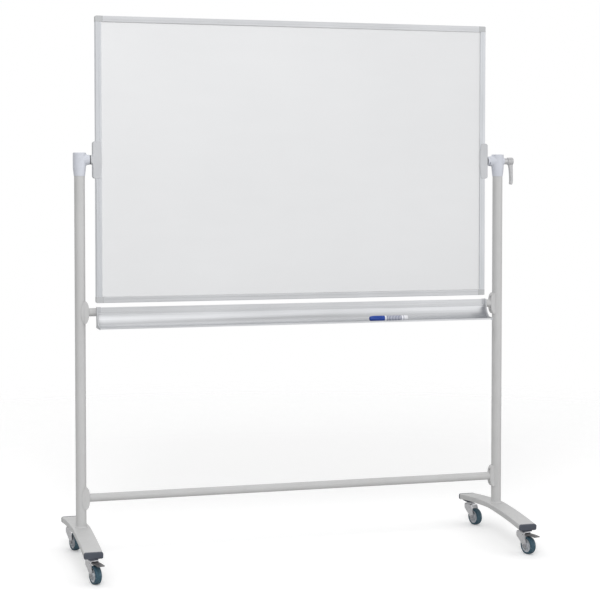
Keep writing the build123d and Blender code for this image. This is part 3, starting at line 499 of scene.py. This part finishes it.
def ease(made, width, segments=2):
    """Rounds a piece's sharp edges over a width in millimetres."""
    bevel = made.modifiers.new("eased edges", "BEVEL")
    bevel.width = width * MM
    bevel.segments = segments
    bevel.limit_method = "ANGLE"
    bevel.angle_limit = radians(BEVEL_ABOVE)
    bevel.harden_normals = True


def axis_place(joint):
    """The frame of a joint with a level axis: X along the axis and Z up."""
    along = Vector(joint["axis"]).normalized()
    up = Vector((0, 0, 1))
    turn = Matrix((along, up.cross(along), up)).transposed().to_4x4()
    return Matrix.Translation(joint["pos_m"]) @ turn


def make_wheels():
    """Tyres with a rounded tread and a raised bead, on ribbed wheel bodies."""
    for end in ("front", "rear"):
        for side in ("left", "right"):
            name = f"{end}_{side}"
            joint = JOINTS[name + "_roll"]
            make_tyre(name, joint)
            make_wheel_body(name, joint)


def make_tyre(name, joint):
    """Bead, side walls and tread, with a seam round the middle of the tread."""
    side, radius = -TYRE_HALF_WIDTH, joint["pos_m"][2] / MM
    seam_half_width, seam_depth = TYRE_SEAM
    half = [(side + inset, RIM_RADIUS + rise) for inset, rise in TYRE_BEAD]
    half += [(side + inset, radius - drop) for inset, drop in TYRE_SHOULDER]
    half += [(-seam_half_width, radius)]
    section = half + [(0.0, radius - seam_depth)] + [(-x, r) for x, r in reversed(half)]
    mesh = bmesh.new()
    spin(mesh, softened(section + [half[0]], TYRE_ROUNDING), WHEEL_SEGMENTS)
    piece(name + "_fine_tyre", mesh, axis_place(joint), joint["child"], "tyre_rubber",
          LOOKS["tyre_rubber"], name + "_tyre")


def make_wheel_body(name, joint):
    """Rim, web and hub barrel, with ribs on each face."""
    left = [(-x, radius) for x, radius in reversed(WHEEL_SECTION[1:-1])]
    section = [*WHEEL_SECTION, *left, WHEEL_SECTION[0]]
    mesh = bmesh.new()
    spin(mesh, softened(section, WHEEL_ROUNDING), WHEEL_SEGMENTS)
    for rib in range(WHEEL_RIBS):
        turn = Matrix.Rotation(2 * pi * rib / WHEEL_RIBS, 4, "X")
        for face in (-1, 1):
            low, high = sorted(face * along for along in RIB_ALONG)
            slab(mesh, (low, -RIB_HALF_WIDTH, RIB_RADII[0]), (high, RIB_HALF_WIDTH, RIB_RADII[1]),
                 turn)
    made = piece(name + "_fine_wheel_body", mesh, axis_place(joint), joint["child"],
                 "wheel_plastic", LOOKS["wheel_plastic"], name + "_wheel_core")
    ease(made, WHEEL_EDGE)


def make_marker():
    """Marker with a fluted cap, a seam round its barrel and a plug in its end."""
    low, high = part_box("marker_barrel")
    cap_low, cap_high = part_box("marker_cap")
    start = Vector((cap_low[0], (low[1] + high[1]) / 2, (low[2] + high[2]) / 2))
    place = Matrix.Translation(start)
    radius = (high[2] - low[2]) / 2 / MM
    cap_radius = (cap_high[2] - cap_low[2]) / 2 / MM
    end = (high[0] - start.x) / MM
    mouth = (cap_high[0] - start.x) / MM
    snout = radius - SNOUT_DROP
    groove = radius - MARKER_STEP
    seam = zip((end - away for away in BARREL_SEAM), (radius, groove, groove, radius))
    profile = [*SNOUT_FRONT, (SNOUT_START, snout), (mouth + MARKER_STEP, snout),
               (mouth + MARKER_STEP, radius), *seam]
    profile += [(end - away, radius - drop) for away, drop in BARREL_END] + [(end, 0.0)]
    barrel = bmesh.new()
    spin(barrel, softened(profile, BARREL_ROUNDING), BARREL_SEGMENTS)
    piece("fine_marker_barrel", barrel, place, "marker", "marker_white",
          marker_print("marker_print"), "marker_barrel")
    bore = snout + CAP_GAP
    taper_start, closed_end = CAP_INSIDE
    profile = [(0.0, 0.0)] + [(x, cap_radius - drop) for x, drop in CAP_DOME]
    profile += [(x, cap_radius) for x in CAP_RINGS]
    profile += [(CAP_SEAM[0], cap_radius - MARKER_STEP), (CAP_SEAM[1], cap_radius),
                (mouth, cap_radius), (mouth, bore), (taper_start, bore),
                (closed_end, bore - CAP_TAPER), (closed_end, 0.0)]
    cap = bmesh.new()
    spin(cap, softened(profile, CAP_ROUNDING), CAP_SEGMENTS, CAP_FLUTES, CAP_FLUTE_DEPTH * MM,
         [x * MM for x in CAP_FLUTED])
    piece("fine_marker_cap", cap, place, "marker_lid", "marker_blue", LOOKS["marker_blue"],
          "marker_cap")


def loose_parts(node):
    """The points of each separate solid of a CAD node, as a list for each."""
    mesh = bmesh.new()
    mesh.from_mesh(node.data)
    bmesh.ops.remove_doubles(mesh, verts=mesh.verts, dist=TOUCHING)
    left = dict.fromkeys(mesh.verts)    # keeps the order of the points, as a set would not
    found = []
    while left:
        todo = [left.popitem()[0]]
        group = []
        while todo:
            vert = todo.pop()
            group.append(vert.co.copy())
            for edge in vert.link_edges:
                other = edge.other_vert(vert)
                if other in left:
                    del left[other]
                    todo.append(other)
        found.append(group)
    mesh.free()
    return found


def from_axis(point, middle, along):
    """How far a point lies from the line through middle along the axis with that number."""
    away = point - middle
    away[along] = 0.0
    return away.length


def make_screws(node, body):
    """Fine pan-head screws with a cross recess, in the places of a CAD node's solids."""
    all_screws = bmesh.new()
    for group in loose_parts(frame["nodes"][node]):
        low = Vector([min(point[i] for point in group) for i in range(3)])
        high = Vector([max(point[i] for point in group) for i in range(3)])
        size = high - low
        along = max(range(3), key=lambda i: size[i])
        middle = (low + high) / 2
        wide = [point for point in group if from_axis(point, middle, along) > HEAD_BEYOND * MM]
        head_side = sum(point[along] - middle[along] for point in wide)
        inward = Vector([0, 0, 0])
        inward[along] = -1 if head_side > 0 else 1
        head = middle - inward * size[along] / 2
        turn = inward.to_track_quat("X", "Z").to_matrix().to_4x4()
        screw = screw_with_recess(size[along])
        screw.transform(Matrix.Translation(head) @ turn)
        all_screws.from_mesh(screw)
    piece("fine_" + node, all_screws, Matrix.Identity(4), body, "fastener_steel",
          LOOKS["fastener_steel"], node)


def screw_with_recess(length):
    """A screw along +X with the middle of its head's top at 0, and a tapered cross cut into
    the head."""
    head = [(x * MM, radius * MM) for x, radius in PAN_HEAD]
    shank = SHANK_RADIUS * MM
    blank = bmesh.new()
    spin(blank, [*head, (head[-1][0], shank), (length, shank), (length, 0.0)], SCREW_SEGMENTS)
    bmesh.ops.recalc_face_normals(blank, faces=blank.faces)
    cross = bmesh.new()
    for quarter in range(2):
        slab(cross, (-RECESS_CLEAR, -RECESS_HALF_LENGTH, -RECESS_HALF_WIDTH),
             (RECESS_DEPTH, RECESS_HALF_LENGTH, RECESS_HALF_WIDTH),
             Matrix.Rotation(pi / 2 * quarter, 4, "X"))
    for vert in cross.verts:
        if vert.co.x > 0:
            vert.co.y *= RECESS_TAPER
            vert.co.z *= RECESS_TAPER
    screw, cutter = (loose_object(name, mesh) for name, mesh in (("screw", blank),
                                                                 ("recess", cross)))
    recess = screw.modifiers.new("recess", "BOOLEAN")
    recess.object = cutter
    recess.use_self = True
    bpy.context.view_layer.update()
    cut = screw.evaluated_get(bpy.context.evaluated_depsgraph_get())
    made = bpy.data.meshes.new_from_object(cut)
    bpy.data.objects.remove(screw)
    bpy.data.objects.remove(cutter)
    return made


def loose_object(name, mesh):
    """Puts a mesh in the scene as an object of its own."""
    data = bpy.data.meshes.new(name)
    mesh.to_mesh(data)
    mesh.free()
    made = bpy.data.objects.new(name, data)
    bpy.context.scene.collection.objects.link(made)
    return made


def make_pedal_treads():
    """Rounded grip bars across the tread of each brake pedal."""
    for side in ("left", "right"):
        name = f"front_{side}"
        joint = JOINTS[name + "_brake_press"]
        mesh = bmesh.new()
        for bar in range(TREAD_BARS):
            middle = TREAD_FIRST - TREAD_PITCH * bar
            slab(mesh, (-TREAD_HALF_LENGTH, middle - TREAD_HALF_WIDTH, TREAD_HEIGHTS[0]),
                 (TREAD_HALF_LENGTH, middle + TREAD_HALF_WIDTH, TREAD_HEIGHTS[1]))
        made = piece(name + "_pedal_tread", mesh, axis_place(joint), joint["child"],
                     "pedal_steel", LOOKS["pedal_steel"])
        ease(made, TREAD_EDGE, 3)


def ease_cad_edges():
    """Small radii on the edges of the extrusions and mouldings."""
    for name, width in EDGE_RADII.items():
        node = frame["nodes"][name]
        merge = node.modifiers.new("one skin", "WELD")
        merge.merge_threshold = TOUCHING
        flat = node.modifiers.new("flat faces", "DECIMATE")
        flat.decimate_type = "DISSOLVE"
        flat.angle_limit = radians(FLAT_BELOW)
        ease(node, width)


# ---------------------------------------------------------------- studio
def make_floor():
    """A disc that lights the object by its own colour and looks white to the camera."""
    mesh = bmesh.new()
    bmesh.ops.create_circle(mesh, cap_ends=True, radius=FLOOR_RADIUS, segments=FLOOR_SEGMENTS)
    floor = loose_object("floor", mesh)
    look = Look("floor", FLOOR_BOUNCE, 0.75)
    look.shade(look.noise(0.4, 3), 0.99, 1.0)
    seen = look.node("LightPath").outputs["Is Camera Ray"]
    look.shade(seen, 0.0, 1.0, 0.0, 1.0, tint=FLOOR_COLOUR)
    look.set("Emission Color", (*WHITE, 1.0))
    glow = look.span(seen, 0.0, FLOOR_GLOW, 0.0, 1.0)
    look.tree.links.new(glow, look.shader.inputs["Emission Strength"])
    look.relief(look.noise(0.002, 2), 0.00005)
    look.fade(FLOOR_FADE, FLOOR_RADIUS)
    floor.data.materials.append(look.material)


def make_surroundings():
    """Soft lobes of light round the object, and a plain white background for the camera."""
    world = bpy.data.worlds.new("studio")
    bpy.context.scene.world = world
    world.use_nodes = True
    nodes, links = world.node_tree.nodes, world.node_tree.links
    direction = nodes.new("ShaderNodeTexCoord").outputs["Generated"]
    total = None
    for toward, edge, strength in LOBES:
        dot = nodes.new("ShaderNodeVectorMath")
        dot.operation = "DOT_PRODUCT"
        links.new(direction, dot.inputs[0])
        dot.inputs[1].default_value = Vector(toward).normalized()
        lobe = nodes.new("ShaderNodeMapRange")
        lobe.interpolation_type = "SMOOTHSTEP"
        links.new(dot.outputs["Value"], lobe.inputs["Value"])
        lobe.inputs["From Min"].default_value = edge
        lobe.inputs["From Max"].default_value = 1.0
        lobe.inputs["To Max"].default_value = strength
        add = nodes.new("ShaderNodeMath")
        add.operation = "ADD"
        links.new(lobe.outputs["Result"], add.inputs[0])
        if total is None:
            add.inputs[1].default_value = BASE_LIGHT
        else:
            links.new(total, add.inputs[1])
        total = add.outputs[0]
    seen = nodes.new("ShaderNodeLightPath").outputs["Is Camera Ray"]
    strength = nodes.new("ShaderNodeMix")
    links.new(seen, strength.inputs["Factor"])
    links.new(total, strength.inputs["A"])
    strength.inputs["B"].default_value = BACKGROUND
    links.new(strength.outputs["Result"], nodes["Background"].inputs["Strength"])
    nodes["Background"].inputs["Color"].default_value = (*WHITE, 1.0)


def make_lamp(name, place, target, size, power):
    """A square lamp that shows in no reflection."""
    lamp = bpy.data.lights.new(name, "AREA")
    lamp.size = size
    lamp.energy = power
    holder = bpy.data.objects.new(name, lamp)
    holder.location = place
    holder.rotation_euler = (Vector(target) - Vector(place)).to_track_quat("-Z", "Y").to_euler()
    holder.visible_glossy = False
    bpy.context.scene.collection.objects.link(holder)


def make_camera():
    """The camera that was fitted to the photo."""
    lens = bpy.data.cameras.new("camera")
    lens.lens = CAMERA_LENS
    lens.sensor_width = SENSOR_WIDTH
    lens.shift_x, lens.shift_y = CAMERA_SHIFT
    lens.clip_end = CAMERA_REACH
    camera = bpy.data.objects.new("camera", lens)
    camera.location = CAMERA_PLACE
    camera.rotation_euler = (radians(90 + CAMERA_TILT), 0.0, -radians(CAMERA_TURN))
    bpy.context.scene.collection.objects.link(camera)
    bpy.context.scene.camera = camera


make_camera()
make_floor()
make_surroundings()
make_lamp("key", KEY_PLACE, KEY_TARGET, KEY_SIZE, KEY_POWER)
bpy.context.scene.view_settings.view_transform = "Standard"
dress_cad_nodes()
ease_cad_edges()
make_wheels()
make_marker()
make_screws("post_screws", "stand")
make_pedal_treads()
